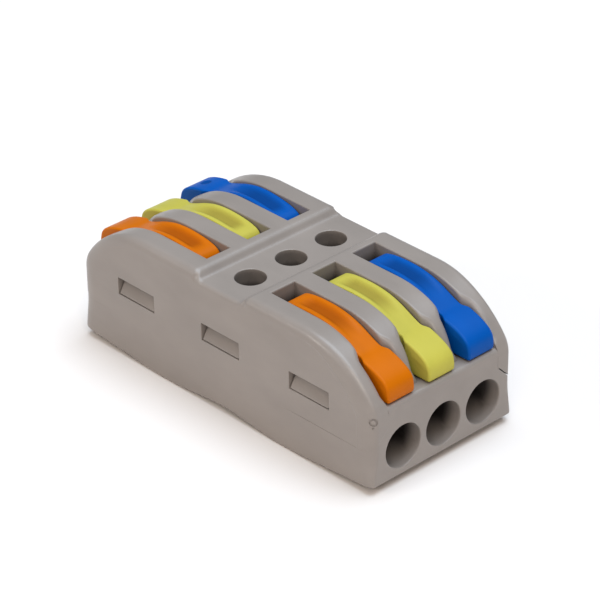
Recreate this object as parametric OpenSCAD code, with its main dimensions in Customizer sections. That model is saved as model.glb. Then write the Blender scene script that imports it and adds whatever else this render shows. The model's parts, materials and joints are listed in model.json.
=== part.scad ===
// Inline lever wire connector: three poles, each joining one wire at the front
// (+X) to one at the rear (-X), with one clamp lever for every wire.
// The frame is +X to the front, +Y across, +Z up. The origin is under the
// middle of the housing, on the plane that its two feet rest on.

/* [Housing] */
// Overall length of the cover, front to rear
length = 41.8; // [41.2:0.2:42.4]
// Overall width
width = 19.2; // [19.2:0.1:20]
// Height of the cover's top above the feet
height = 14.5; // [14.3:0.1:15]
// Distance between neighbouring poles
pitch = 5.4; // [5.3:0.05:5.5]
// How far the end faces of the base sit behind the cover's ends
end_step = 0.05; // [0:0.05:0.3]
// How far the sides of the base sit behind the cover's sides
side_step = 0.05; // [0:0.05:0.2]

/* [Wires and probes] */
// Radius of a wire entry
entry_r = 2.3; // [2:0.05:2.35]
// Height of a wire entry's centre line
entry_z = 4.0; // [3.9:0.1:4.2]
// Radius of a test port
port_r = 1.58; // [1:0.02:1.7]

/* [Levers] */
// Distance of a lever's pivot from the middle of the housing
pivot_x = 10; // [9.9:0.1:10.1]
// Height of a lever's pivot
pivot_z = 11; // [10.9:0.1:11.1]
// Width of a lever's arm
arm_w = 2.8; // [2.6:0.1:2.9]
// Width of a lever's grip
grip_w = 3.7; // [3.4:0.1:3.8]
// Clearance beside a lever
side_gap = 0.12; // [0.1:0.01:0.2]
// Running clearance of a trunnion in its bearing
run_gap = 0.05; // [0.02:0.01:0.08]
// How far the rear orange and yellow levers stand open, in degrees
rear_lift = 2.6; // [0:0.2:5]
// How far the rear blue lever stands open, in degrees
rear_blue_lift = 5.4; // [0:0.2:8]

/* [Metal parts] */
// Thickness of a busbar
bar_t = 0.8; // [0.6:0.1:0.9]
// Thickness of a clamp spring
spring_t = 0.3; // [0.25:0.05:0.35]

/* [Hidden] */
$fn = 64;

fit_gap = 0.05;                 // gap between two shells that close on each other
end_x = length / 2;             // end of the cover
base_x = end_x - end_step;      // end of the base
half_w = width / 2;
base_half = half_w - side_step; // half the width of the base
poles = [-pitch, 0, pitch];     // the poles' centre lines, across the housing
base_corner_r = 1.2;            // upright corners of the base
cover_corner_r = 1.4;           // upright corners of the cover
cover_edge_r = 1;               // long upper edges of the cover

// Heights above the feet
foot_x = 8.5;                   // middle of a foot
foot_flat = 1;                  // half the width of a foot's flat
keel_rise = 0.75;               // underside's height at the middle
end_rise = 0.85;                // underside's height at the ends
seam_z = 4.7;                   // where the cover's side walls end
chamber_floor = 1.35;
chamber_top = 7;
shelf_z = 9;                    // top of the entry blocks, under the grips
deck_z = 13.65;                 // sunken deck with the test ports
block_x = 16.8;                 // inner face of an entry block
block_half = 7.4;               // half the width of an entry block's top
chamber_half = 2.2;
tongue_y = 8.05;                // outer face of the base's upper side walls
tongue_t = 0.45;                // thickness of a latch tongue behind that face
tongue_lean = 1;                // how far a tongue's upper end leans inward
stop_half = 1;                  // half the thickness of the wall between two wires

// Side profile of the cover: a long arc, then a tighter one down to the end
arc_x = 11;                     // where the top starts to fall away
arc_r = 11.5;
nose_r = 3;
arc_z = height - arc_r;
nose_x = end_x - nose_r;
nose_z = arc_z + sqrt(pow(arc_r - nose_r, 2) - pow(nose_x - arc_x, 2));
nose_angle = atan2(nose_z - arc_z, nose_x - arc_x);

// Openings in the cover
step_low = 2.9;                 // foot of the step beside the deck
step_high = 3.6;                // top of the step
pocket_x = 4.6;                 // inner end of a lever slot
slot_half = arm_w / 2 + side_gap;
relief_half = grip_w / 2 + side_gap;
relief_r = 6.8;                 // reach from the pivot at which a slot widens
rib_top_x = 17.3;               // where a rib between levers starts to drop, at rib_top_z
rib_top_z = 14;
rib_foot_x = 19.4;              // where it meets the shelf
cam_room_x = 2.7;               // inner end of the room for the cams, under the deck
cam_room_z = 12.6;
windows = [-12.4, 0, 12.4];     // centres of the latch windows
window_l = 5.4;
window_low = 7.16;
window_high = 9.09;
tongue_gap = 0.1;               // clearance around a latch tongue
tongue_room = 0.5;              // depth of the room behind it, from the tongue's outer face

// Levers
trunnion_r = 1.2;
trunnion_out = 0.5;             // reach of a trunnion beyond the slot
trunnion_l = 2 * (slot_half + trunnion_out);
trunnion_end_gap = 0.03;        // clearance at the ends of the trunnions
hub_r = 2;
cam_r = 6.9;                    // reach of a cam from the pivot
cam_t = 0.5;                    // thickness of one of the twin cams
cam_half_angle = 12;            // half the angle that a cam spans at its tip
lever_top = height - 0.15;
// How far the arm's top has fallen at each x: a long crown that follows the cover, then a faster fall
arm_fall = [[11.2, 0], [12.6, 0.25], [14, 0.75], [15.4, 1.4], [16.6, 1.85]];
grip_low = shelf_z + 0.1;
grip_end = 20.6;
grip_nose_r = 0.9;              // rounding of the grip's end, in side view
grip_start = 17.2;              // where a grip reaches its full width
neck_end = 16.2;                // where the arm starts to widen
inner_end = 5.9;                // inner end of a lever's nose
dish_x = 7.4;                   // inner end of the dish in a lever's top
dish_depth = 0.35;
dish_w = 1.7;

// Metal parts
bar_z = 6.5;                    // underside of a busbar
bar_w = 4.2;
bar_neck = 1.3;                 // width between the cams
bar_mid = 3.6;                  // half the length of the wide middle
bar_end = 16.5;
bar_foot_l = 1.2;               // length of the wide end that rests in the chamber's walls
bar_foot_w = 4.8;
bar_seat_gap = 0.05;            // clearance around that end
spring_w = 3.6;
spring_tail = 4.2;              // free end of a spring's base leg
spring_loop_x = 14.6;
spring_loop_r = 0.75;           // outer radius of the loop
spring_tip = 9;

function arc(x, z, r, from, to, steps) =
    [for (i = [0:steps]) let (a = from + (to - from) * i / steps) [x + r * cos(a), z + r * sin(a)]];

// ---- Outlines ----

function front_profile() = concat(
    arc(nose_x, nose_z, nose_r, 0, nose_angle, 8),
    arc(arc_x, arc_z, arc_r, nose_angle, 90, 12)
);

function mirrored(points) = [for (i = [len(points) - 1:-1:0]) [-points[i][0], points[i][1]]];

// Extrudes an XZ outline along Y, centred on y = 0
module slab(thick) {
    rotate([90, 0, 0]) linear_extrude(height = thick, center = true) children();
}

// A box from its low and high corners
module box(low, high) {
    translate(low) cube(high - low);
}

// Stands what is drawn along Z across the part, on a front lever's pivot
module at_pivot() {
    translate([pivot_x, 0, pivot_z]) rotate([90, 0, 0]) children();
}

module rear() {
    mirror([1, 0, 0]) children();
}

module both_ends() {
    children();
    rear() children();
}

// Plan outline with rounded corners, from z = low to z = high
module plan(half_length, half_width, radius, low, high) {
    translate([0, 0, low]) linear_extrude(height = high - low) {
        square([2 * (half_length - radius), 2 * half_width], center = true);
        square([2 * half_length, 2 * (half_width - radius)], center = true);
        for (x = [-1, 1], y = [-1, 1])
            translate([x * (half_length - radius), y * (half_width - radius)]) circle(r = radius);
    }
}

// Cross-section of an entry block: full width low down, narrower between the cover's walls
module block_section(gap) {
    polygon([
        [-half_w - gap, 0], [half_w + gap, 0], [half_w + gap, seam_z + gap],
        [block_half + gap, seam_z + half_w - block_half + gap], [block_half + gap, shelf_z + gap],
        [-block_half - gap, shelf_z + gap], [-block_half - gap, seam_z + half_w - block_half + gap],
        [-half_w - gap, seam_z + gap],
    ]);
}

module entry_block(gap, far) {
    translate([block_x - gap, 0, 0]) rotate([90, 0, 90])
        linear_extrude(height = far - block_x + gap) block_section(gap);
}

// The wide end of a busbar, with a gap around it and up to z = high
module bar_foot(gap, high) {
    half = bar_foot_w / 2 + gap;
    box([bar_end - bar_foot_l - gap, -half, bar_z], [bar_end + gap, half, high]);
}

// ---- Base ----

module underside() {
    slab(width + 2) polygon([
        [-base_x, end_rise], [-foot_x - foot_flat, 0], [-foot_x + foot_flat, 0], [0, keel_rise],
        [foot_x - foot_flat, 0], [foot_x + foot_flat, 0], [base_x, end_rise],
        [base_x, height], [-base_x, height],
    ]);
}

// Snap tongue that fills a window of the cover, with its catch flat at the bottom
module latch() {
    long = window_l - 2 * tongue_gap;
    rotate([90, 0, 90]) linear_extrude(height = long, center = true) polygon([
        [tongue_y - tongue_t, seam_z], [tongue_y, seam_z], [tongue_y, window_low + tongue_gap],
        [base_half, window_low + tongue_gap], [base_half - tongue_lean, window_high - tongue_gap],
        [tongue_y - tongue_t, window_high - tongue_gap],
    ]);
}

module base() {
    color("gray") difference() {
        intersection() {
            union() {
                box([-block_x, -base_half, 0], [block_x, base_half, seam_z]);
                box([-block_x, -tongue_y, 0], [block_x, tongue_y, chamber_top]);
                both_ends() entry_block(0, base_x);
                for (x = windows, side = [0, 180]) rotate([0, 0, side]) translate([x, 0, 0]) latch();
            }
            plan(base_x, base_half, base_corner_r, 0, height);
            underside();
        }
        for (y = poles) translate([0, y, 0]) {
            both_ends() {
                box([stop_half, -chamber_half, chamber_floor], [block_x, chamber_half, height]);
                translate([block_x - 0.5, 0, entry_z]) rotate([0, 90, 0])
                    cylinder(r = entry_r, h = length);
            }
            // Seats of the busbar: its ends in the chamber walls, its middle on the stop wall
            both_ends() bar_foot(bar_seat_gap, chamber_top + 1);
            box([-stop_half - 1, -chamber_half, bar_z], [stop_half + 1, chamber_half, chamber_top + 1]);
        }
    }
}

// ---- Cover ----

module cover_solid() {
    intersection() {
        slab(width + 2) polygon(concat(
            [[end_x, seam_z]], front_profile(), mirrored(front_profile()), [[-end_x, seam_z]]
        ));
        plan(end_x, half_w, cover_corner_r, seam_z, height);
        // Rounded long edges
        rotate([90, 0, 90]) linear_extrude(height = length + 2, center = true) {
            translate([-half_w, 0]) square([width, height - cover_edge_r]);
            translate([-half_w + cover_edge_r, 0]) square([width - 2 * cover_edge_r, height]);
            for (y = [cover_edge_r - half_w, half_w - cover_edge_r])
                translate([y, height - cover_edge_r]) circle(r = cover_edge_r);
        }
    }
}

module channel() {
    slab(width + 2) polygon([
        [-step_low, deck_z], [step_low, deck_z], [step_high, height + 0.1], [-step_high, height + 0.1],
    ]);
}

module lever_slot() {
    box([pocket_x, -slot_half, seam_z - 1], [end_x + 1, slot_half, height + 1]);
    box([cam_room_x, -slot_half, seam_z - 1], [pocket_x + 1, slot_half, cam_room_z]);
    // Relief beside the grip, as far out as the grip swings
    difference() {
        box([pivot_x, -relief_half, shelf_z], [end_x + 1, relief_half, height + 1]);
        at_pivot() cylinder(r = relief_r, h = pitch, center = true);
    }
    at_pivot() cylinder(r = trunnion_r + run_gap, h = trunnion_l + 2 * trunnion_end_gap, center = true);
}

// What is cut off the front ends of the two ribs between the levers
module beyond_ribs() {
    slab(2 * pitch) polygon([
        [rib_top_x, rib_top_z], [rib_foot_x, shelf_z], [end_x + 1, shelf_z], [end_x + 1, rib_top_z],
    ]);
}

module cover() {
    color("darkgray") difference() {
        cover_solid();
        channel();
        both_ends() beyond_ribs();
        // Room for the base
        box([-block_x, -tongue_y - fit_gap, 0], [block_x, tongue_y + fit_gap, chamber_top + fit_gap]);
        both_ends() entry_block(fit_gap, end_x + 1);
        for (x = windows, side = [0, 180]) rotate([0, 0, side]) translate([x - window_l / 2, 0, 0]) {
            box([0, tongue_y, window_low], [window_l, half_w + 1, window_high]);
            box([0, tongue_y - tongue_room, 0], [window_l, tongue_y + fit_gap, window_high]);
        }
        for (y = poles) translate([0, y, 0]) {
            both_ends() lever_slot();
            translate([0, 0, chamber_top]) cylinder(r = port_r, h = height);
            box([-pocket_x, -chamber_half, 0], [pocket_x, chamber_half, bar_z + bar_t + bar_seat_gap]);
            both_ends() bar_foot(2 * bar_seat_gap, bar_z + bar_t + bar_seat_gap);
        }
    }
}

// ---- Levers ----

function arm_top(drop) = [for (p = arm_fall) [p[0], lever_top - p[1] - drop]];

module arm_outline() {
    polygon(concat(
        [[pivot_x - 3.1, pivot_z + 1.4], [inner_end + 0.4, 12.9]],
        [[inner_end, 13.65], [inner_end + 0.3, 13.95], [7.1, 14.22], [8.3, lever_top]],
        arm_top(0),
        [[17.4, 12.3], [17.4, grip_low], [15.6, grip_low], [14, 9.9], [12.6, 10]],
        [[pivot_x + 1.2, pivot_z - 1.6], [pivot_x - 1.8, pivot_z - 0.8]]
    ));
}

module grip_outline() {
    polygon(concat(
        [[neck_end, grip_low], [grip_end, grip_low]],
        arc(grip_end - grip_nose_r, 10.35, grip_nose_r, 0, 62, 6),
        [[19.2, 11.72], [18.2, 12.1], [grip_start, 12.35], [neck_end, 12.65]]
    ));
}

// The grip is as narrow as the arm up to grip_start
module grip() {
    slab(arm_w) grip_outline();
    slab(grip_w) intersection() {
        grip_outline();
        translate([grip_start, 0]) square([10, 20]);
    }
}

// One of the twin cams: a sector that points inward while the lever is shut
module cam() {
    linear_extrude(height = cam_t) polygon(concat(
        [[0.6, 1]],
        arc(0, 0, cam_r, 180 - cam_half_angle, 180 + cam_half_angle, 6),
        [[0.4, -hub_r]]
    ));
}

// A lever that stands open by lift degrees, as its grip rises about the pivot
module lever(lift) {
    pivot = [pivot_x, 0, pivot_z];
    translate(pivot) rotate([0, -lift, 0]) translate(-pivot) difference() {
        union() {
            slab(arm_w) arm_outline();
            grip();
            at_pivot() {
                cylinder(r = hub_r, h = arm_w, center = true);
                cylinder(r = trunnion_r, h = trunnion_l, center = true);
                translate([0, 0, -arm_w / 2]) cam();
                translate([0, 0, arm_w / 2 - cam_t]) cam();
            }
        }
        // Finger dish in the arm's top
        slab(dish_w) intersection() {
            polygon(concat(
                [[dish_x, height], [dish_x + 0.4, lever_top - dish_depth]],
                arm_top(dish_depth), [[17, height]]
            ));
            square([14.2, height]);
        }
    }
}

module lever_front_orange() { color("darkorange") translate([0, poles[0], 0]) lever(0); }
module lever_front_yellow() { color("khaki") translate([0, poles[1], 0]) lever(0); }
module lever_front_blue() { color("royalblue") translate([0, poles[2], 0]) lever(0); }
module lever_rear_orange() { color("darkorange") translate([0, poles[0], 0]) rear() lever(rear_lift); }
module lever_rear_yellow() { color("khaki") translate([0, poles[1], 0]) rear() lever(rear_lift); }
module lever_rear_blue() { color("royalblue") translate([0, poles[2], 0]) rear() lever(rear_blue_lift); }

// ---- Metal parts ----

module busbar() {
    color("silver") {
        box([-bar_mid, -bar_w / 2, bar_z], [bar_mid, bar_w / 2, bar_z + bar_t]);
        box([-bar_end, -bar_neck / 2, bar_z], [bar_end, bar_neck / 2, bar_z + bar_t]);
        both_ends() bar_foot(0, bar_z + bar_t);
    }
}

module busbar_orange() { translate([0, poles[0], 0]) busbar(); }
module busbar_yellow() { translate([0, poles[1], 0]) busbar(); }
module busbar_blue() { translate([0, poles[2], 0]) busbar(); }

// A strip bent round a loop at the entry: a leg on the floor, and one that rises inward
module spring() {
    loop_z = chamber_floor + spring_loop_r;
    inner_r = spring_loop_r - spring_t;
    tip_z = bar_z - fit_gap;
    lean = atan2(tip_z - loop_z - spring_loop_r, spring_loop_x - spring_tip);
    color("lightsteelblue") slab(spring_w) polygon(concat(
        [[spring_tail, chamber_floor]],
        arc(spring_loop_x, loop_z, spring_loop_r, -90, 90 - lean, 16),
        [[spring_tip, tip_z], [spring_tip - 0.15, tip_z - spring_t]],
        arc(spring_loop_x, loop_z, inner_r, 90 - lean, -90, 16),
        [[spring_tail, chamber_floor + spring_t]]
    ));
}

module spring_front_orange() { translate([0, poles[0], 0]) spring(); }
module spring_front_yellow() { translate([0, poles[1], 0]) spring(); }
module spring_front_blue() { translate([0, poles[2], 0]) spring(); }
module spring_rear_orange() { translate([0, poles[0], 0]) rear() spring(); }
module spring_rear_yellow() { translate([0, poles[1], 0]) rear() spring(); }
module spring_rear_blue() { translate([0, poles[2], 0]) rear() spring(); }

base();
cover();
lever_front_orange();
lever_front_yellow();
lever_front_blue();
lever_rear_orange();
lever_rear_yellow();
lever_rear_blue();
busbar_orange();
busbar_yellow();
busbar_blue();
spring_front_orange();
spring_front_yellow();
spring_front_blue();
spring_rear_orange();
spring_rear_yellow();
spring_rear_blue();
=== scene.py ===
"""The looks of an inline lever wire connector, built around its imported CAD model.

The two shells, the levers and the metal parts are modelled here as moulded and bent parts with
soft edges. Each is a signed distance field, in millimetres and negative inside, that is turned
into a mesh. Both ends and both sides are nearly the same, so the fields mostly measure along
and across from the middle.
"""

import json
import math

import bpy
import numpy as np
import openvdb
from mathutils import Matrix, Vector


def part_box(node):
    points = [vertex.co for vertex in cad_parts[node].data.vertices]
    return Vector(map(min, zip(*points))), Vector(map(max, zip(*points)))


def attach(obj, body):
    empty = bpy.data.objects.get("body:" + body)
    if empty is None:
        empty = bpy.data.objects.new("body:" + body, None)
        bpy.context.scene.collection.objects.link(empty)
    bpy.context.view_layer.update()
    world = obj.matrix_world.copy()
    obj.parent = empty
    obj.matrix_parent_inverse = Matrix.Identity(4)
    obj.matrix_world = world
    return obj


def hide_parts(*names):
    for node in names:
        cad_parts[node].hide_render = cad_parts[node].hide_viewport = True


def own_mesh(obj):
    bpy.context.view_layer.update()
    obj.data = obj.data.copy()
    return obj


MM = 0.001
COLOURS = ("orange", "yellow", "blue")
END_TURNS = {"front": 0, "rear": math.pi}

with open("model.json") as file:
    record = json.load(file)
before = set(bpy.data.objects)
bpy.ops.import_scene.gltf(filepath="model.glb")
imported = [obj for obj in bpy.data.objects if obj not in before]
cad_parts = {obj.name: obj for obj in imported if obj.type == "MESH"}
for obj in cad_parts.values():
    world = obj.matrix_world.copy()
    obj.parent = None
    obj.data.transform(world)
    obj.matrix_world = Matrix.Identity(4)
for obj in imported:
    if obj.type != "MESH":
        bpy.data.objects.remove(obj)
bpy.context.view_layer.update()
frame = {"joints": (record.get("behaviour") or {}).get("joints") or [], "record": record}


# ---- Sizes from the CAD model, in millimetres ----


def node_corners(node):
    low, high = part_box(node)
    return np.array(low) / MM, np.array(high) / MM


cover_low, cover_high = node_corners("cover")
bar_low, bar_high = node_corners("busbar_yellow")
spring_low, spring_high = node_corners("spring_front_yellow")
joints = {joint["name"]: joint for joint in frame["joints"]}
mounts = {mount["name"]: mount for mount in frame["record"]["mounts"]}
hinge = joints["front_yellow_lever_hinge"]["pos_m"]
entry = mounts["wire_entry_front_yellow"]
port = mounts["test_port_yellow"]

END_X, HALF_W, HEIGHT = cover_high
SEAM_Z, SHELF_Z = cover_low[2], node_corners("base")[1][2]
PITCH = mounts["test_port_blue"]["pos_m"][1] / MM
PIVOT_X, PIVOT_Z = hinge[0] / MM, hinge[2] / MM
ENTRY_R, ENTRY_Z = entry["dims"]["r_mm"], entry["pos_m"][2] / MM
PORT_R = port["dims"]["r_mm"]

# ---- Sizes of the looks, in millimetres. Each CHANGE is where a size begins and ends to change ----

# Side profile of the cover: flat, a long arc, then a tighter one down to the end
ARC_X, ARC_R, NOSE_R = 11.0, 11.5, 3.0
ARC_Z = HEIGHT - ARC_R
NOSE_X = END_X - NOSE_R
NOSE_Z = ARC_Z + math.sqrt((ARC_R - NOSE_R) ** 2 - (NOSE_X - ARC_X) ** 2)
NOSE_ANGLE = math.atan2(NOSE_Z - ARC_Z, NOSE_X - ARC_X)
# The sunken deck, and the sloping step from it up to the levers
DECK_Z, STEP_LOW, STEP_HIGH = 13.65, 2.9, 3.6
# The ribs between levers: a point on their sloping ends, and the slope's unit normal
RIB_X, RIB_Z, RIB_NORMAL = 18.45, 11.4, (0.919, 0.394)
# Rounding of the long edges at the deck, what the step and the ends add, and a ridge below it
DECK_EDGE, STEP_ADDS, END_ADDS, END_CHANGE = 0.45, 0.5, 1.05, (12.5, 19.5)
RIDGE, RIDGE_CHANGE, RIDGE_RUN = 0.035, (8.5, 12), 0.2

# Room for a lever, its relief around the grip, its flare at the end and its rounded edge
POCKET_X, SLOT_HALF, RELIEF_HALF, RELIEF_CHANGE = 4.6, 1.52, 1.97, (6.3, 7.3)
RIB_FLARE, FLARE_CHANGE = 0.3, (17, 20)
SLOT_EDGE, SLOT_EDGE_ADDS, SLOT_EDGE_CHANGE = 0.15, 0.5, (15, 18)
CAM_ROOM_X, CAM_ROOM_Z = 2.7, 12.6

# Latch windows, and the base's snap tongues that fill them
WINDOW_X, WINDOW_HALF, WINDOW_LOW, WINDOW_HIGH = 12.4, 2.7, 7.16, 9.09
TONGUE_Y, TONGUE_GAP, TONGUE_ROOM, TONGUE_INSET, TONGUE_LEAN = 8.05, 0.1, 0.5, 0.03, 0.56
# Gaps of the fits, and what the seam opens by at one front corner, below a height
FIT_GAP, TRUNNION_END_GAP, BLOCK_GAP, BAR_GAP = 0.05, 0.03, 0.005, 0.1
OPEN_SEAM, OPEN_SEAM_TOP = 0.1, SHELF_Z - 2.2
SEAM_EDGE, BLOCK_EDGE = 0.005, 0.006

# The base, a hair inside the cover's faces, and its entry blocks, chambers and feet
BASE_X, BASE_HALF, CORNER_R, CORNER_CHANGE = END_X - 0.01, HALF_W - 0.004, 0.5, (0.5, SEAM_Z)
BLOCK_X, BLOCK_HALF, BLOCK_OVERLAP, BORE_OVERLAP = 16.8, 7.4, 0.2, 0.5
CHAMBER_FLOOR, CHAMBER_TOP, CHAMBER_HALF, STOP_HALF = 1.35, 7.0, 2.2, 1.0
FOOT_LOW, FOOT_HIGH, KEEL_SLOPE, END_SLOPE, FOOT_TRIM = 7.5, 9.5, 0.1, 0.076, 0.024

# Gate mark at the front end of the wall at -Y: a ring's centre, radius and half line, and a dot
RING, RING_R, RING_LINE = (20.6, -9.1, 8.1), 0.34, 0.06
DOT, DOT_R = (20.6, -9.15, 7.45), 0.1
GATE_MARK_DEPTH, GATE_MARK_EDGE = 0.06, 0.02

# Lever: its half width at arm and grip, and a height between the arm's top and its underside
ARM_HALF, GRIP_HALF, GRIP_CHANGE, ARM_SPLIT_Z = 1.4, 1.75, (6.6, 7.5), 12
LEVER_EDGE, LEVER_EDGE_ADDS, LEVER_EDGE_CHANGE = 0.19, 0.07, (16.5, 19)
# Finger dish in the arm's top: its depth, and where its inner end, outer end and sides slope
DISH_DEPTH, DISH_INNER, DISH_OUTER, DISH_SIDE = 0.34, (6.9, 8.6), (11.4, 15.2), (0.35, 1.05)
TRUNNION_R, TRUNNION_HALF, HUB_R = 1.2, 2.02, 2.0
CAM_R, CAM_HALF_ANGLE, CAM_INNER = 6.9, math.radians(12), 0.9
CAM_ROOT_R, CAM_ROOT_HALF = 5, 1.1
# Round ejector mark: its place on the grip's sloping top, the slope there, its radius and depth
MARK_X, MARK_Z, MARK_SLOPE = 18.6, 12.015, math.radians(20.8)
MARK_R, MARK_DEPTH = 0.6, 0.12

# Busbar: its wide middle, the necks, which stop short of its ends, the wide ends and their room
BAR_MIDDLE_X, BAR_MIDDLE_HALF, BAR_NECK_HALF, BAR_NECK_SHORT = 3.6, 2.1, 0.65, 0.5
BAR_END_LONG, BAR_END_HALF, BAR_SEAT_LONG, BAR_SEAT_HALF = 1.2, 2.4, 1.4, 2.45
# Clamp spring: the strip, its loop, and how far along from the lower leg's end the upper leg's is
SPRING_T, LOOP_X, LOOP_R, SPRING_TIP = 0.3, 14.6, 0.6, 4.9

# Shade in openings: how much each kind holds, and how far in it begins and is full
PORT_SHADE, GATE_MARK_SHADE, DISH_SHADE, MARK_SHADE = 0.42, 0.14, 0.75, 0.6
PORT_CHANGE, HOUSING_CHANGE, ARM_CHANGE, ARM_SHADE_END = (0.1, 0.5), (0.55, 2.3), (0.5, 3), 16


# ---- Distance fields ----


def soft_and(a, b, radius):
    """What a and b share, its edge rounded to the radius."""
    u = np.maximum(a + radius, 0)
    v = np.maximum(b + radius, 0)
    return np.minimum(np.maximum(a, b), -radius) + np.hypot(u, v)


def oval_and(a, b, along_a, along_b):
    """As soft_and, with an oval edge that starts at different distances on the two faces."""
    u = np.maximum(a / along_a + 1, 0)
    v = np.maximum(b / along_b + 1, 0)
    reach = np.hypot(u, v)
    slope = np.hypot(u / along_a, v / along_b)
    return np.where(reach > 0.01, reach * (reach - 1) / np.maximum(slope, 1e-6), np.maximum(a, b))


def soft_or(a, b, radius):
    """a and b together, with a fillet between them."""
    return -soft_and(-a, -b, radius)


def cut(a, b, radius):
    """a without b, its new edge rounded to the radius."""
    return soft_and(a, -b, radius)


def span(value, low, high):
    """Distance to the slab low..high."""
    return np.abs(value - (low + high) / 2) - (high - low) / 2


def block(x, y, z, low, high):
    """Distance to a box."""
    parts = [span(v, a, b) for v, a, b in zip((x, y, z), low, high)]
    outside = np.sqrt(sum(np.maximum(part, 0) ** 2 for part in parts))
    inside = np.minimum(np.maximum(np.maximum(parts[0], parts[1]), parts[2]), 0)
    return outside + inside


def ball(x, y, z, centre, radius):
    """Distance to a ball."""
    return np.sqrt((x - centre[0]) ** 2 + (y - centre[1]) ** 2 + (z - centre[2]) ** 2) - radius


def ease(value, low, high):
    """0 up to low, 1 from high, smooth between."""
    t = np.clip((value - low) / (high - low), 0, 1)
    return t * t * (3 - 2 * t)


def polygon(x, z, corners):
    """Signed distance to a closed outline in a plane."""
    nearest = np.full(np.broadcast(x, z).shape, np.inf)
    inside = np.zeros(nearest.shape, bool)
    for (ax, az), (bx, bz) in zip(corners, np.roll(corners, -1, axis=0)):
        ex, ez = bx - ax, bz - az
        px, pz = x - ax, z - az
        t = np.clip((px * ex + pz * ez) / (ex * ex + ez * ez), 0, 1)
        nearest = np.minimum(nearest, (px - t * ex) ** 2 + (pz - t * ez) ** 2)
        if ez != 0:
            crosses = ((az > z) != (bz > z)) & (px < pz * ex / ez)
            inside ^= crosses
    return np.where(inside, -1, 1) * np.sqrt(nearest)


def smooth_outline(points, steps=8):
    """A closed Catmull-Rom curve through the points."""
    points = np.array(points, float)
    before, after, beyond = (np.roll(points, shift, axis=0) for shift in (1, -1, -2))
    t = (np.arange(steps) / steps)[None, :, None]
    p0, p1, p2, p3 = (p[:, None] for p in (before, points, after, beyond))
    curve = 0.5 * (2 * p1 + (p2 - p0) * t + (2 * p0 - 5 * p1 + 4 * p2 - p3) * t**2
                   + (3 * p1 - p0 - 3 * p2 + p3) * t**3)
    return curve.reshape(-1, 2)


def pole_offset(y):
    """Distance across from the nearest pole's centre line."""
    return y - PITCH * np.clip(np.round(y / PITCH), -1, 1)


# ---- Cover ----


def side_outline(x, z):
    """The cover in side view, with its sunken deck. x is measured from the middle."""
    nose = np.hypot(np.maximum(x - NOSE_X, 0), np.maximum(z - NOSE_Z, 0)) - NOSE_R
    long_arc = np.hypot(x - ARC_X, z - ARC_Z) - ARC_R
    past_arc = (x - ARC_X) * math.sin(NOSE_ANGLE) > (z - ARC_Z) * math.cos(NOSE_ANGLE)
    crown = np.where(past_arc, nose, np.where(x < ARC_X, z - HEIGHT, long_arc))
    run, rise = STEP_HIGH - STEP_LOW, HEIGHT - DECK_Z
    step = ((x - STEP_LOW) * rise - (z - DECK_Z) * run) / math.hypot(run, rise)
    deck = soft_and(DECK_Z - z, step, radius=0.25)
    return cut(crown, deck, radius=0.35)


def rib_outline(x, z):
    """As side_outline, for the ribs between levers: they slope to the entry block before the walls do."""
    slope = (x - RIB_X) * RIB_NORMAL[0] + (z - RIB_Z) * RIB_NORMAL[1]
    return soft_and(side_outline(x, z), slope, radius=1.1)


def entry_block_section(y, z):
    """End view of an entry block's top: full width at the seam, narrower above."""
    slope = (y + z - BLOCK_HALF - (SEAM_Z + HALF_W - BLOCK_HALF)) / math.sqrt(2)
    upper = np.maximum(z - SHELF_Z, y - BLOCK_HALF)
    return np.minimum(upper, np.maximum(slope, z - SEAM_Z - HALF_W + BLOCK_HALF))


def window_end(along):
    """How far past the end of the nearest latch window a point is."""
    return np.minimum(along, np.abs(along - WINDOW_X)) - WINDOW_HALF


def lever_slot(x, y, z, flare):
    """Room for one lever, its cam and its trunnions; y is measured from its centre line."""
    across = np.abs(y)
    reach = np.hypot(x - PIVOT_X, z - PIVOT_Z)
    spread = (RELIEF_HALF - SLOT_HALF) * ease(reach, *RELIEF_CHANGE) + flare * ease(x, *FLARE_CHANGE)
    half = SLOT_HALF + spread * ((x > PIVOT_X) & (z > SHELF_Z))
    slot = np.maximum(across - half, np.maximum(POCKET_X - x, SEAM_Z - 1 - z))
    cam_room = np.maximum(across - SLOT_HALF, np.maximum(CAM_ROOM_X - x, z - CAM_ROOM_Z))
    bearing = np.maximum(across - TRUNNION_HALF - TRUNNION_END_GAP, reach - TRUNNION_R - FIT_GAP)
    return np.minimum(np.minimum(slot, cam_room), bearing)


def cover_form(x, y, z):
    """The cover from outside, before anything is cut from it."""
    along, across = np.abs(x), np.abs(y)
    edge = DECK_EDGE + STEP_ADDS * ease(along, STEP_LOW, STEP_HIGH)
    far_edge = edge + END_ADDS * ease(along, *END_CHANGE)
    outline = np.where(across < PITCH, rib_outline(along, z), side_outline(along, z))
    # The rounding starts at a faint ridge, above a side face that is a hair lower
    ridge = RIDGE * ease(x, *RIDGE_CHANGE) * ease(-outline - far_edge, 0, RIDGE_RUN)
    form = oval_and(outline, across - HALF_W + ridge, far_edge, edge)
    return soft_and(form, SEAM_Z + SEAM_EDGE - z, SEAM_EDGE)


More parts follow.
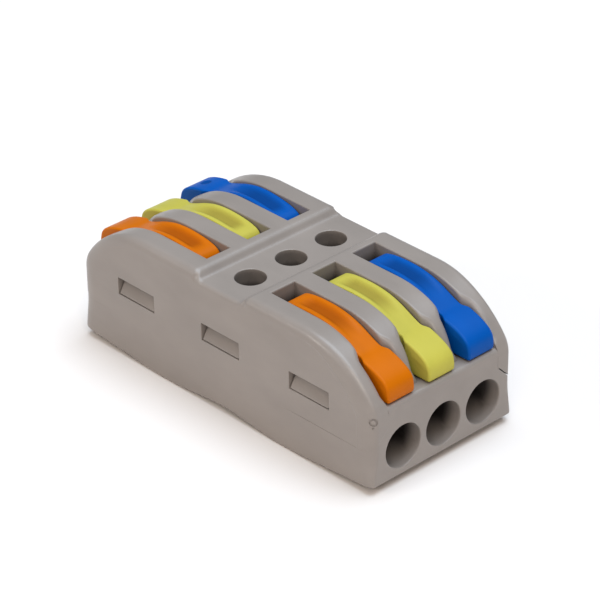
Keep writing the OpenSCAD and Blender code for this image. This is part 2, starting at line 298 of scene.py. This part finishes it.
def cover_field(x, y, z):
    """The cover, with all its openings."""
    along, across, offset = np.abs(x), np.abs(y), pole_offset(y)
    above_shelf = ease(z, SHELF_Z + 0.1, SHELF_Z + 1)
    slot_edge = 0.01 + above_shelf * (SLOT_EDGE + SLOT_EDGE_ADDS * ease(along, *SLOT_EDGE_CHANGE))
    flare = np.where(across < PITCH, RIB_FLARE, BLOCK_HALF - PITCH - RELIEF_HALF)
    field = cut(cover_form(x, y, z), lever_slot(along, offset, z, flare), slot_edge)
    port_hole = np.maximum(np.hypot(x, offset) - PORT_R, CHAMBER_TOP - z)
    field = cut(field, port_hole, radius=0.1)
    # Latch windows, and the rooms behind them for the tongues
    wall = TONGUE_Y + FIT_GAP
    window = np.maximum(window_end(along), span(z, WINDOW_LOW, WINDOW_HIGH))
    field = cut(field, np.maximum(window, TONGUE_Y - across), radius=0.04)
    tongue_room = np.maximum(window_end(along), z - WINDOW_HIGH)
    tongue_room = np.maximum(tongue_room, span(across, TONGUE_Y - TONGUE_ROOM, wall))
    field = np.maximum(field, -tongue_room)
    # Room for the base: its upper walls, its entry blocks at the ends, and the busbars
    room = block(x, y, z, (-BLOCK_X, -wall, -1), (BLOCK_X, wall, CHAMBER_TOP))
    open_seam = OPEN_SEAM * ((y > 0) & (z < OPEN_SEAM_TOP) & (x > 0))
    ends = np.maximum(entry_block_section(across, z) - BLOCK_GAP - open_seam, BLOCK_X - along)
    field = cut(field, np.minimum(room, ends), BLOCK_EDGE)
    bar_top = bar_high[2] + BAR_GAP
    bar_seat = block(x, offset, z, (-POCKET_X, -CHAMBER_HALF, -1), (POCKET_X, CHAMBER_HALF, bar_top))
    field = np.maximum(field, -bar_seat)
    mark = np.hypot(np.maximum(gate_mark(x, y, z), 0), np.maximum(-GATE_MARK_DEPTH - field, 0))
    return cut(field, mark - GATE_MARK_EDGE, GATE_MARK_EDGE)


def gate_mark(x, y, z):
    """Distance to the gate mark: a ring, with a dot below it."""
    ring = np.abs(ball(x, y, z, RING, RING_R)) - RING_LINE
    return np.minimum(ring, ball(x, y, z, DOT, DOT_R))


def housing_depth(x, y, z):
    """Painted shade on the housing: 0 on the outside, up to 1 deep in its openings, with some in the test
    ports and in the gate mark's groove.
    """
    along, across = np.abs(x), np.abs(y)
    outside = np.maximum(np.maximum(side_outline(along, z), across - HALF_W), underside(x) - z)
    in_port = np.hypot(x, pole_offset(y)) < PORT_R + 0.05
    port = PORT_SHADE * in_port * ease(DECK_Z - z, *PORT_CHANGE)
    mark = GATE_MARK_SHADE * (gate_mark(x, y, z) < 0.03)
    return np.maximum(np.maximum(port, mark), ease(-outside, *HOUSING_CHANGE))


# ---- Meshing ----


def field_mesh(name, field, low, high, step, adaptivity, depth=None):
    """Mesh of the surface where field is zero, in metres, with the field's own normals.

    low and high are the corners of its box, and step is the size of a voxel. The last argument,
    where given, is painted shade: a number for each point by which the material darkens its colour."""
    margin, band, slices = 3, 4 * step, 40
    origin = np.floor(np.array(low) / step).astype(int) - margin
    count = np.ceil(np.array(high) / step).astype(int) + margin - origin
    axes = [(origin[i] + np.arange(count[i])) * step for i in range(3)]
    values = np.empty(count, np.float32)
    for start in range(0, count[0], slices):
        x = axes[0][start:start + slices, None, None]
        part = field(x, axes[1][None, :, None], axes[2][None, None, :])
        values[start:start + slices] = np.clip(part, -band, band)
    grid = openvdb.FloatGrid(band)
    grid.copyFromArray(values, ijk=tuple(int(i) for i in origin))
    grid.transform = openvdb.createLinearTransform(voxelSize=step)
    points, triangles, quads = grid.convertToPolygons(isovalue=0.0, adaptivity=adaptivity)
    points = points.astype(float)
    faces = [face.astype(int) for face in (triangles, quads) if len(face)]
    for _ in range(2):
        points = on_surface(field, points, step)
    for _ in range(3):
        points = to_edges(field, points, faces, step)
    points = on_surface(field, points, step)
    mesh = bpy.data.meshes.new(name)
    mesh.from_pydata(points * MM, [], [face.tolist() for group in faces for face in group])
    mesh.update()
    mesh.shade_smooth()
    mesh.normals_split_custom_set(corner_normals(field, points, faces, step).tolist())
    if depth is not None:
        mesh.attributes.new("depth", "FLOAT", "POINT").data.foreach_set("value", depth(*points.T))
    return mesh


def on_surface(field, points, step):
    """The points, moved along the field's slope to where it is zero."""
    value, normal = gradient(field, points, step)
    return points - np.clip(value, -step / 2, step / 2)[:, None] * normal


def to_edges(field, points, faces, step):
    """The points, moved to where the surface's planes at the faces around them meet.

    That puts the points near a sharp edge on it, and hardly moves the others."""
    hold = 0.03  # pull of a point's old place, which settles it along flat faces and edges
    matrix = np.zeros((len(points), 3, 3))
    target = np.zeros((len(points), 3))
    count = np.zeros(len(points))
    for group in faces:
        value, normal = gradient(field, points[group].mean(axis=1), step)
        level = (points[group].mean(axis=1) * normal).sum(axis=1) - value
        for corner in group.T:
            count += np.bincount(corner, minlength=len(points))
            for i in range(3):
                target[:, i] += np.bincount(corner, normal[:, i] * level, len(points))
                for j in range(3):
                    matrix[:, i, j] += np.bincount(corner, normal[:, i] * normal[:, j], len(points))
    matrix = matrix / count[:, None, None] + hold * np.eye(3)
    target = target / count[:, None] + hold * points
    moved = np.linalg.solve(matrix, target[..., None])[..., 0] - points
    length = np.linalg.norm(moved, axis=1, keepdims=True)
    return points + moved * np.minimum(1, step / np.maximum(length, 1e-9))


def corner_normals(field, points, faces, step):
    """The surface's normal at each corner of each face, taken a little way into the face."""
    normals = []
    for group in faces:
        corners = points[group]
        inward = corners + 0.2 * (corners.mean(axis=1, keepdims=True) - corners)
        normals.append(gradient(field, inward.reshape(-1, 3), step / 4)[1])
    return np.concatenate(normals)


def gradient(field, points, step):
    """The field and its unit gradient at the points."""
    delta = step / 4
    x, y, z = points.T
    value = field(x, y, z)
    slope = np.stack([
        field(x + delta, y, z) - field(x - delta, y, z),
        field(x, y + delta, z) - field(x, y - delta, z),
        field(x, y, z + delta) - field(x, y, z - delta),
    ], axis=1)
    length = np.linalg.norm(slope, axis=1, keepdims=True)
    return value, slope / np.maximum(length, 1e-9)


# ---- Base ----


def soft_ramp(value):
    """0 well below 0, the value itself well above it, with a bend between."""
    return (value + np.sqrt(value**2 + 0.64)) / 2


def underside(x):
    """Height of the underside: two shallow feet, with a rise between them and to the ends."""
    along = np.sqrt(x**2 + 0.5)  # as abs(x), with no kink at the middle
    rise = KEEL_SLOPE * soft_ramp(FOOT_LOW - along) + END_SLOPE * soft_ramp(along - FOOT_HIGH)
    # The ramps' bends reach under the feet, which are trimmed flat
    return np.maximum(rise - FOOT_TRIM, 0)


def latch_tongue(along, across, z):
    """A snap tongue that fills a window, leaning in towards its top."""
    rise = z - WINDOW_LOW - TONGUE_GAP
    face = across - (BASE_HALF - TONGUE_INSET - rise * TONGUE_LEAN)
    tongue = soft_and(face, window_end(along) + TONGUE_GAP, radius=0.12)
    tongue = soft_and(tongue, span(z, WINDOW_LOW + TONGUE_GAP, WINDOW_HIGH - TONGUE_GAP), radius=0.1)
    return np.maximum(tongue, TONGUE_Y - TONGUE_ROOM - across)


def base_field(x, y, z):
    """The base, with its entry blocks, snap tongues and chambers."""
    along, across, offset = np.abs(x), np.abs(y), pole_offset(y)
    lower = soft_and(z - SEAM_Z, across - BASE_HALF, SEAM_EDGE)
    wall = np.maximum(across - TONGUE_Y, z - CHAMBER_TOP)
    body = np.maximum(np.minimum(lower, wall), along - BLOCK_X)
    ends = np.maximum(entry_block_section(across, z), BLOCK_X - BLOCK_OVERLAP - along)
    shelf = soft_and(along - BASE_X, z - SHELF_Z, radius=0.55)
    ends = soft_and(ends, shelf, BLOCK_EDGE)
    field = np.minimum(np.minimum(body, ends), latch_tongue(along, across, z))
    # Oval corners, twice as large at the seam as at the feet
    corner = CORNER_R + CORNER_R * ease(z, *CORNER_CHANGE)
    plan = oval_and(along - BASE_X, across - BASE_HALF, 2 * corner, corner)
    field = soft_and(field, plan, radius=0.02)
    field = soft_and(field, underside(x) - z, radius=0.3)
    # Chambers with a stop between them, room for the busbars, and the wire entries
    chamber = block(along, offset, z, (STOP_HALF, -CHAMBER_HALF, CHAMBER_FLOOR),
                    (BLOCK_X, CHAMBER_HALF, HEIGHT))
    bar_end = block(along, offset, z, (bar_high[0] - BAR_SEAT_LONG, -BAR_SEAT_HALF, bar_low[2]),
                    (bar_high[0] + BAR_GAP, BAR_SEAT_HALF, SHELF_Z - 1))
    bar_middle = block(x, offset, z, (-2 * STOP_HALF, -CHAMBER_HALF, bar_low[2]),
                       (2 * STOP_HALF, CHAMBER_HALF, HEIGHT))
    field = cut(field, np.minimum(chamber, np.minimum(bar_end, bar_middle)), radius=0.02)
    bore = np.maximum(np.hypot(offset, z - ENTRY_Z) - ENTRY_R, BLOCK_X - BORE_OVERLAP - along)
    return cut(field, bore, radius=0.13)


# ---- Lever ----

# A closed front lever in side view, from the arm's inner end over the top to the grip and back
lever_side = smooth_outline([
    (5.95, 13.45), (6.35, 13.98), (7.3, 14.27), (8.5, 14.4), (9.9, 14.43), (11.2, 14.35), (12.6, 14.1),
    (14.0, 13.62), (15.3, 13.02), (16.3, 12.6), (17.3, 12.4), (18.3, 12.12), (19.15, 11.78), (19.95, 11.3),
    (20.42, 10.75), (20.6, 10.1), (20.62, 9.55), (20.5, 9.2), (20.1, 9.1), (19.2, 9.1), (17.6, 9.1),
    (16.3, 9.15), (15.2, 9.55), (14.0, 9.9), (12.6, 9.95), (11.4, 9.6), (10.2, 9.4), (8.6, 10.1),
    (7.2, 12.0), (6.3, 12.9),
])


def dish(x, y):
    """How much of the finger dish's depth there is at a point of the arm's top."""
    lengthwise = ease(x, *DISH_INNER) * (1 - ease(x, *DISH_OUTER))
    return lengthwise * (1 - ease(np.abs(y), *DISH_SIDE))


def lever_depth(x, y, z):
    """Painted shade on a lever: the dish holds some; so does the hidden underside of the arm."""
    in_dish = DISH_SHADE * dish(x, y) * (z > ARM_SPLIT_Z)
    return np.maximum(in_dish, ease(ARM_SPLIT_Z - z, *ARM_CHANGE) * (x < ARM_SHADE_END))


def marked_lever_depth(x, y, z):
    """As the plain lever's painted shade, with painted shade in the ejector mark too."""
    mark = 1 - ease(np.hypot(x - MARK_X, y), MARK_R - 0.1, MARK_R + 0.06)
    return np.maximum(lever_depth(x, y, z), MARK_SHADE * mark * (z > ARM_SPLIT_Z - 1))


def lever_field(x, y, z):
    """A closed lever, with the hub, trunnions and cams that are moulded in one with it."""
    across = np.abs(y)
    reach = np.hypot(x - PIVOT_X, z - PIVOT_Z)
    side = polygon(x, z, lever_side)
    half = ARM_HALF + (GRIP_HALF - ARM_HALF) * ease(reach, *GRIP_CHANGE) * (x > PIVOT_X)
    edge = LEVER_EDGE + LEVER_EDGE_ADDS * ease(x, *LEVER_EDGE_CHANGE)
    field = soft_and(side, across - half, edge)
    field = np.maximum(field, side + DISH_DEPTH * dish(x, y) * (z > ARM_SPLIT_Z))
    # Hub, trunnions and twin cams
    hub = np.maximum(reach - HUB_R, across - ARM_HALF)
    trunnion = soft_and(reach - TRUNNION_R, across - TRUNNION_HALF, radius=0.1)
    field = np.minimum(soft_or(field, hub, radius=0.3), trunnion)
    angle = np.arctan2(z - PIVOT_Z, PIVOT_X - x)
    sector = reach * (np.abs(angle) - CAM_HALF_ANGLE)
    root = np.maximum(reach - CAM_ROOT_R, np.abs(z - PIVOT_Z) - CAM_ROOT_HALF)
    blade = np.maximum(np.maximum(np.minimum(sector, root), x - PIVOT_X), reach - CAM_R)
    cam = soft_and(blade, span(across, CAM_INNER, ARM_HALF), radius=0.12)
    return soft_or(field, cam, radius=0.15)


def marked_lever_field(x, y, z):
    """A lever with the round ejector mark in its grip's top."""
    radius = (MARK_R**2 + MARK_DEPTH**2) / (2 * MARK_DEPTH)
    centre_x = MARK_X + (radius - MARK_DEPTH) * math.sin(MARK_SLOPE)
    centre_z = MARK_Z + (radius - MARK_DEPTH) * math.cos(MARK_SLOPE)
    return cut(lever_field(x, y, z), ball(x, y, z, (centre_x, 0, centre_z), radius), radius=0.05)


# ---- Metal parts ----


def busbar_field(x, y, z):
    """A flat bar in plan: a wide middle, necks, and wide ends that sit in the base."""
    along, across = np.abs(x), np.abs(y)
    middle = soft_and(along - BAR_MIDDLE_X, across - BAR_MIDDLE_HALF, radius=0.3)
    neck = np.maximum(along - bar_high[0] + BAR_NECK_SHORT, across - BAR_NECK_HALF)
    end = span(along, bar_high[0] - BAR_END_LONG, bar_high[0])
    end = soft_and(end, across - BAR_END_HALF, radius=0.3)
    outline = soft_or(soft_or(middle, neck, radius=0.4), end, radius=0.4)
    return soft_and(outline, span(z, bar_low[2], bar_high[2]), radius=0.08)


def spring_line():
    """Centre line of a clamp spring in side view: a leg on the floor, a loop, and a leg up to the bar."""
    floor_z = CHAMBER_FLOOR + SPRING_T / 2
    loop_z = floor_z + LOOP_R
    tip = (spring_low[0] + SPRING_TIP, spring_high[2] - SPRING_T / 2)
    lean = math.atan2(tip[1] - loop_z - LOOP_R, LOOP_X - tip[0])
    turns = np.linspace(-math.pi / 2, math.pi / 2 - lean, 24)
    loop = [(LOOP_X + LOOP_R * math.cos(a), loop_z + LOOP_R * math.sin(a)) for a in turns]
    return [(spring_low[0] + SPRING_T / 2, floor_z), *loop, tip]


def spring_field(x, y, z):
    """A strip of even thickness along the spring's centre line."""
    nearest = np.full(np.broadcast(x, z).shape, np.inf)
    line = spring_line()
    for (ax, az), (bx, bz) in zip(line, line[1:]):
        ex, ez = bx - ax, bz - az
        t = np.clip(((x - ax) * ex + (z - az) * ez) / (ex * ex + ez * ez), 0, 1)
        nearest = np.minimum(nearest, np.hypot(x - ax - t * ex, z - az - t * ez))
    return soft_and(nearest - SPRING_T / 2, np.abs(y) - spring_high[1], radius=0.08)


# ---- Materials ----


def principled(name):
    material = bpy.data.materials.new(name)
    material.use_nodes = True
    return material, material.node_tree, material.node_tree.nodes["Principled BSDF"]


def noise(tree, scale, detail, stretch=(1, 1, 1)):
    """Noise on the piece's own coordinates, scale in features per metre."""
    place = tree.nodes.new("ShaderNodeTexCoord")
    mapping = tree.nodes.new("ShaderNodeMapping")
    mapping.inputs["Scale"].default_value = stretch
    texture = tree.nodes.new("ShaderNodeTexNoise")
    texture.inputs["Scale"].default_value = scale
    texture.inputs["Detail"].default_value = detail
    tree.links.new(place.outputs["Object"], mapping.inputs["Vector"])
    tree.links.new(mapping.outputs["Vector"], texture.inputs["Vector"])
    return texture.outputs["Fac"]


def ramp(tree, value, start, end):
    """Maps a noise's usual range to start..end."""
    node = tree.nodes.new("ShaderNodeMapRange")
    for socket, number in zip(("From Min", "From Max", "To Min", "To Max"), (0.3, 0.7, start, end)):
        node.inputs[socket].default_value = number
    tree.links.new(value, node.inputs["Value"])
    return node.outputs["Result"]


def mixed(tree, factor, first, second):
    node = tree.nodes.new("ShaderNodeMix")
    node.data_type = "RGBA"
    node.inputs["A"].default_value = (*first, 1)
    node.inputs["B"].default_value = (*second, 1)
    tree.links.new(factor, node.inputs["Factor"])
    return node.outputs["Result"]


def bump(tree, shader, height, distance, strength):
    node = tree.nodes.new("ShaderNodeBump")
    node.inputs["Distance"].default_value = distance
    node.inputs["Strength"].default_value = strength
    tree.links.new(height, node.inputs["Height"])
    tree.links.new(node.outputs["Normal"], shader.inputs["Normal"])


def depth_factor(tree):
    """The painted shade that the piece's mesh carries, 0 to 1."""
    node = tree.nodes.new("ShaderNodeAttribute")
    node.attribute_name = "depth"
    return node.outputs["Fac"]


def with_painted_shade(tree, colour, painted_shade_colour):
    """The colour, darkened by painted shade: multiplied by the given shade colour where the piece's
    painted shade is 1.
    """
    depth = depth_factor(tree)
    node = tree.nodes.new("ShaderNodeMix")
    node.data_type = "RGBA"
    node.blend_type = "MULTIPLY"
    node.inputs["B"].default_value = (*painted_shade_colour, 1)
    tree.links.new(depth, node.inputs["Factor"])
    tree.links.new(colour, node.inputs["A"])
    return node.outputs["Result"]


def duller(tree, roughness):
    """The roughness, going to 0.9 where the piece's painted shade is 1."""
    depth = depth_factor(tree)
    node = tree.nodes.new("ShaderNodeMix")
    node.inputs["B"].default_value = 0.9
    tree.links.new(depth, node.inputs["Factor"])
    tree.links.new(roughness, node.inputs["A"])
    return node.outputs["Result"]


def moulded_plastic(name, colour, painted_shade_colour, roughness, gloss_level, grain):
    """Satin moulded plastic: a faint cloudiness, uneven gloss, a fine spark-eroded grain, and painted
    shade in openings and hollows.
    """
    material, tree, shader = principled(name)
    clouds = ramp(tree, noise(tree, 260, 3, (0.5, 1, 1)), 0, 1)
    dark, light = ([channel * (1 + side * 0.06) for channel in colour] for side in (-1, 1))
    cloudy = mixed(tree, clouds, dark, light)
    tree.links.new(with_painted_shade(tree, cloudy, painted_shade_colour), shader.inputs["Base Color"])
    gloss = ramp(tree, noise(tree, 900, 3), roughness - 0.04, roughness + 0.04)
    tree.links.new(duller(tree, gloss), shader.inputs["Roughness"])
    shader.inputs["Specular IOR Level"].default_value = gloss_level
    bump(tree, shader, noise(tree, 7000, 2), distance=0.000006, strength=grain)
    return material


def rolled_metal(name, colour, roughness):
    """Rolled strip: fine lines along it, with uneven gloss."""
    material, tree, shader = principled(name)
    lines = noise(tree, 1500, 4, (0.05, 1, 1))
    dark = [channel * 0.88 for channel in colour]
    streaks = mixed(tree, ramp(tree, lines, 0, 1), dark, colour)
    tree.links.new(streaks, shader.inputs["Base Color"])
    gloss = ramp(tree, lines, roughness - 0.08, roughness + 0.1)
    tree.links.new(gloss, shader.inputs["Roughness"])
    shader.inputs["Metallic"].default_value = 1.0
    bump(tree, shader, lines, distance=0.000004, strength=0.4)
    return material


LEVER_COLOURS = {
    "orange": (0.58, 0.138, 0.0),
    "yellow": (0.51, 0.455, 0.072),
    "blue": (0.0, 0.082, 0.375),
}
# The second colour of each plastic is its painted shade, multiplied in where the mesh's painted shade is
# full
housing_plastic = moulded_plastic(
    "housing_plastic", (0.285, 0.243, 0.215), painted_shade_colour=(0.03, 0.018, 0.014),
    roughness=0.335, gloss_level=0.5, grain=0.15)
lever_plastics = {
    name: moulded_plastic(f"lever_plastic_{name}", colour, painted_shade_colour=(0.5, 0.42, 0.42),
                          roughness=0.4, gloss_level=0.09, grain=0.2)
    for name, colour in LEVER_COLOURS.items()
}
tinned = rolled_metal("tinned_copper", (0.72, 0.66, 0.58), roughness=0.38)
steel = rolled_metal("spring_steel", (0.60, 0.61, 0.63), roughness=0.37)


# ---- Pieces ----


def piece(name, mesh, material, body, node, matrix=None):
    """Places a mesh as the piece that stands for a CAD node."""
    if matrix is not None:
        mesh = mesh.copy()
        mesh.transform(matrix)
    mesh.materials.clear()
    mesh.materials.append(material)
    obj = bpy.data.objects.new(name, mesh)
    bpy.context.scene.collection.objects.link(obj)
    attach(obj, body)
    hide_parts(node)
    return obj


def at_pole(end, colour, lift=0.0):
    """Where a part drawn for the middle front pole goes, with a lever's lift about its pivot."""
    across = mounts[f"test_port_{colour}"]["pos_m"][1]
    turn = Matrix.Rotation(END_TURNS[end], 4, "Z")
    pivot = Matrix.Translation((PIVOT_X * MM, 0, PIVOT_Z * MM))
    tilt = pivot @ Matrix.Rotation(-lift, 4, "Y") @ pivot.inverted()
    return Matrix.Translation((0, across, 0)) @ turn @ tilt


base_box = (-END_X, -HALF_W, 0), (END_X, HALF_W, SHELF_Z)
base_mesh = field_mesh("base", base_field, *base_box, step=0.1, adaptivity=0.02, depth=housing_depth)
cover_mesh = field_mesh("cover", cover_field, cover_low, cover_high, step=0.08, adaptivity=0.02,
                        depth=housing_depth)
piece("base_shell", base_mesh, housing_plastic, "housing", "base")
piece("cover_shell", cover_mesh, housing_plastic, "housing", "cover")

lever_box = (PIVOT_X - CAM_R, -TRUNNION_HALF, PIVOT_Z - HUB_R), (END_X, TRUNNION_HALF, HEIGHT)
plain_lever = field_mesh("lever", lever_field, *lever_box, step=0.06, adaptivity=0.01,
                         depth=lever_depth)
marked_lever = field_mesh("marked_lever", marked_lever_field, *lever_box, step=0.06, adaptivity=0.01,
                          depth=marked_lever_depth)
bar_mesh = field_mesh("busbar", busbar_field, bar_low, bar_high, step=0.1, adaptivity=0.01)
spring_mesh = field_mesh("spring", spring_field, spring_low, spring_high, step=0.06, adaptivity=0.01)

for colour in COLOURS:
    bar_name = f"busbar_{colour}"
    piece(f"{bar_name}_strip", bar_mesh, tinned, "housing", bar_name,
          at_pole("front", colour))
    for end in END_TURNS:
        joint = joints[f"{end}_{colour}_lever_hinge"]
        lever_name, spring_name = f"lever_{end}_{colour}", f"spring_{end}_{colour}"
        lift = -math.radians(joint["range_deg"][0])
        mesh = marked_lever if lever_name == "lever_rear_blue" else plain_lever
        piece(f"{lever_name}_moulding", mesh, lever_plastics[colour], lever_name,
              lever_name, at_pole(end, colour, lift))
        strip = piece(f"{spring_name}_strip", spring_mesh, steel, "housing",
                      spring_name, at_pole(end, colour))
        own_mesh(strip)


# ---- Floor, light and camera ----


def floor():
    size = 1.2
    mesh = bpy.data.meshes.new("floor")
    corners = [(-size, -size, 0), (size, -size, 0), (size, size, 0), (-size, size, 0)]
    mesh.from_pydata(corners, [], [(0, 1, 2, 3)])
    obj = bpy.data.objects.new("floor", mesh)
    bpy.context.scene.collection.objects.link(obj)
    material, _, shader = principled("floor_paint")
    shader.inputs["Base Color"].default_value = (0.88, 0.81, 0.76, 1)
    shader.inputs["Roughness"].default_value = 0.9
    mesh.materials.append(material)


def direction(azimuth, elevation):
    """Unit vector towards that bearing; azimuth 0 is along -Y, and turns towards +X."""
    az, el = math.radians(azimuth), math.radians(elevation)
    return Vector((math.sin(az) * math.cos(el), -math.cos(az) * math.cos(el), math.sin(el)))


def softbox(name, bearing, distance, size, power, tint):
    """A soft light that faces the part; bearing is its azimuth and elevation."""
    light = bpy.data.lights.new(name, "AREA")
    light.shape = "RECTANGLE"
    light.size, light.size_y = size
    light.energy = power
    light.color = tint
    obj = bpy.data.objects.new(name, light)
    towards = direction(*bearing)
    obj.location = towards * distance
    obj.rotation_euler = towards.to_track_quat("Z", "Y").to_euler()
    bpy.context.scene.collection.objects.link(obj)


def lighting():
    world = bpy.data.worlds.new("studio")
    world.use_nodes = True
    background = world.node_tree.nodes["Background"]
    background.inputs["Color"].default_value = (0.93, 0.97, 1.0, 1)
    background.inputs["Strength"].default_value = 0.2
    bpy.context.scene.world = world
    softbox("key", (48, 46), distance=1.5, size=(0.8, 0.8), power=8.4, tint=(1.0, 0.93, 0.86))
    softbox("side_strip", (-24, 29), distance=1.2, size=(0.55, 0.03), power=2.9, tint=(1.0, 0.94, 0.88))
    softbox("top", (150, 80), distance=1.5, size=(1.2, 1.2), power=25.5, tint=(0.75, 0.87, 1.0))


def camera():
    aim = Vector((-2.276, 3.223, 6.493)) * MM
    azimuth, elevation, roll, distance = 46.93, 30.754, -0.862, 297.63 * MM
    data = bpy.data.cameras.new("camera")
    data.lens, data.sensor_width = 178.6, 36
    data.clip_start, data.clip_end = 0.01, 10
    obj = bpy.data.objects.new("camera", data)
    towards = direction(azimuth, elevation)
    place = Matrix.Translation(aim + towards * distance)
    view = towards.to_track_quat("Z", "Y").to_matrix().to_4x4()
    obj.matrix_world = place @ view @ Matrix.Rotation(math.radians(roll), 4, "Z")
    bpy.context.scene.collection.objects.link(obj)
    bpy.context.scene.camera = obj


floor()
lighting()
camera()
bpy.context.scene.view_settings.view_transform = "Standard"
